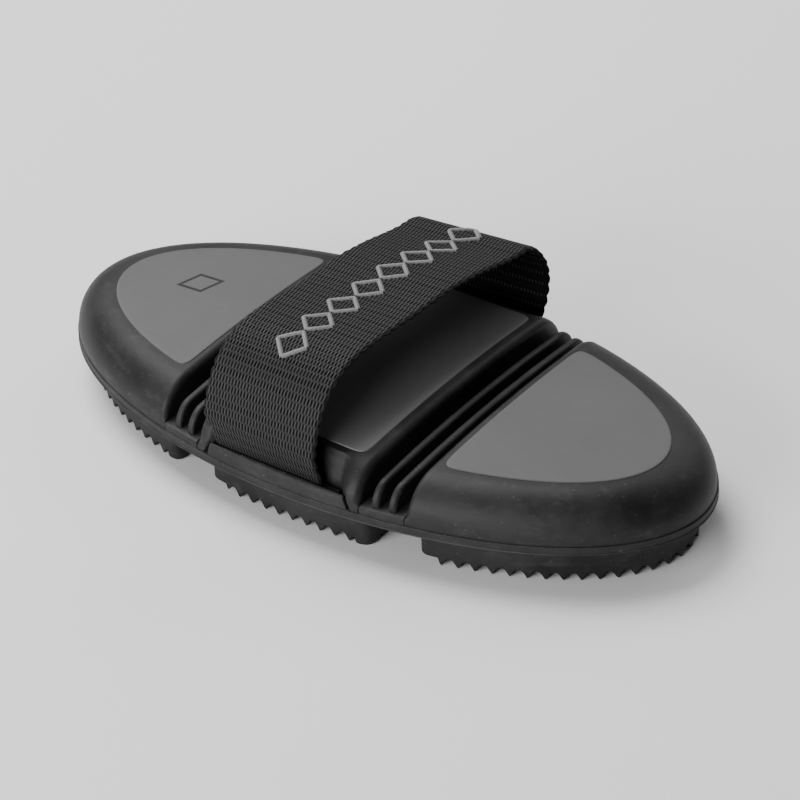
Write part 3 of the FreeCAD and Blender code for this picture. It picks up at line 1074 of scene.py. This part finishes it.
strap_length = STRAP_LINE[1][-1]
strap_joint = motif_middle + motif_pitch / 2
halves = (
    ("strap_near_half", 0.0, strap_joint, "near_leg", "crown", -1, ("strap_near_leg", "strap_crown")),
    ("strap_far_half", strap_joint, strap_length, "crown", "far_leg", 1, ("strap_far_leg",)),
)
for name, start, end, body_a, body_b, side, nodes in halves:
    half = strap_half_piece(name, start, end, web_black)
    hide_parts(*nodes)
    motif = embroidery(name + "_embroidery", start, end, thread_grey)
    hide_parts("strap_motif")
    for piece in (half, motif):
        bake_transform(piece)

# The ends of the strap under the floor are the CAD's own nodes.
for node in ("strap_near_end", "strap_far_end"):
    frame["nodes"][node].data.materials.clear()
    frame["nodes"][node].data.materials.append(hidden_black)


# ---------------------------------------------------------------- studio

def area_lamp(name, place, aim, size, power):
    lamp = bpy.data.lights.new(name, "AREA")
    lamp.shape = "RECTANGLE"
    lamp.size, lamp.size_y = size
    lamp.energy = power
    obj = add_object(name, lamp)
    obj.location = place
    obj.rotation_euler = (Vector(aim) - Vector(place)).to_track_quat("-Z", "Y").to_euler()


def studio_floor():
    mesh = bpy.data.meshes.new("studio_floor")
    reach = 3.0
    corners = [(-reach, -reach, 0), (reach, -reach, 0), (reach, reach, 0), (-reach, reach, 0)]
    mesh.from_pydata(corners, [], [(0, 1, 2, 3)])
    m = Nodes("studio floor")
    m.set("Base Color", m.mix(m.noise(m.place(), 3.0), grey(0.88), grey(0.9)))
    m.set("Roughness", 0.9)
    mesh.materials.append(m.material)
    obj = add_object("studio_floor", mesh)


def camera():
    """The view from the near right, slightly rolled, looking down on the comb."""
    azimuth, elevation, roll = math.radians(38.02), math.radians(34.24), math.radians(-3.02)
    distance = 0.8240
    aim_height = 0.0108
    back = Vector((math.sin(azimuth) * math.cos(elevation), -math.cos(azimuth) * math.cos(elevation),
                   math.sin(elevation)))
    level = Vector((math.cos(azimuth), math.sin(azimuth), 0))
    upright = back.cross(level)
    right = level * math.cos(roll) + upright * math.sin(roll)
    up = upright * math.cos(roll) - level * math.sin(roll)
    data = bpy.data.cameras.new("camera")
    data.sensor_width = 36.0
    data.lens = 137.92
    data.shift_x = 0.01942
    data.shift_y = 0.00395
    obj = add_object("camera", data)
    place = Vector((0, 0, aim_height)) + back * distance
    obj.matrix_world = Matrix((
        (right.x, up.x, back.x, place.x),
        (right.y, up.y, back.y, place.y),
        (right.z, up.z, back.z, place.z),
        (0, 0, 0, 1),
    ))
    bpy.context.scene.camera = obj


horizon_glow = 0.5
zenith_glow = 0.52
left_share = 0.9
right_share = 0.05


def world():
    """A pale surround, nearly even in height, and much brighter on the left than on the right."""
    made = bpy.data.worlds.new("studio")
    made.use_nodes = True
    tree = made.node_tree
    sky = tree.nodes["Background"]
    where = tree.nodes.new("ShaderNodeTexCoord")
    split = tree.nodes.new("ShaderNodeSeparateXYZ")
    both = tree.nodes.new("ShaderNodeMath")
    both.operation = "MULTIPLY"
    tree.links.new(where.outputs["Generated"], split.inputs["Vector"])
    shades = (
        ("Z", "SMOOTHSTEP", (0.0, 0.55), (horizon_glow, zenith_glow)),
        ("X", "LINEAR", (-0.8, 0.8), (left_share, right_share)),
    )
    for socket, (axis, curve, places, glows) in zip(both.inputs, shades):
        fade = tree.nodes.new("ShaderNodeMapRange")
        fade.interpolation_type = curve
        fade.inputs["From Min"].default_value, fade.inputs["From Max"].default_value = places
        fade.inputs["To Min"].default_value, fade.inputs["To Max"].default_value = glows
        tree.links.new(split.outputs[axis], fade.inputs["Value"])
        tree.links.new(fade.outputs["Result"], socket)
    tree.links.new(both.outputs["Value"], sky.inputs["Strength"])
    sky.inputs["Color"].default_value = (1, 1, 1, 1)
    bpy.context.scene.world = made


studio_floor()
world()
camera()
lamp_aim = (0, 0, 0.02)
area_lamp("key", (-0.66, 0.22, 1.12), lamp_aim, (0.8, 0.8), 20)
area_lamp("fill", (-0.25, -1.3, 0.5), lamp_aim, (1.2, 0.6), 22)
area_lamp("back", (0.1, 1.3, 0.8), lamp_aim, (1.0, 0.4), 4)
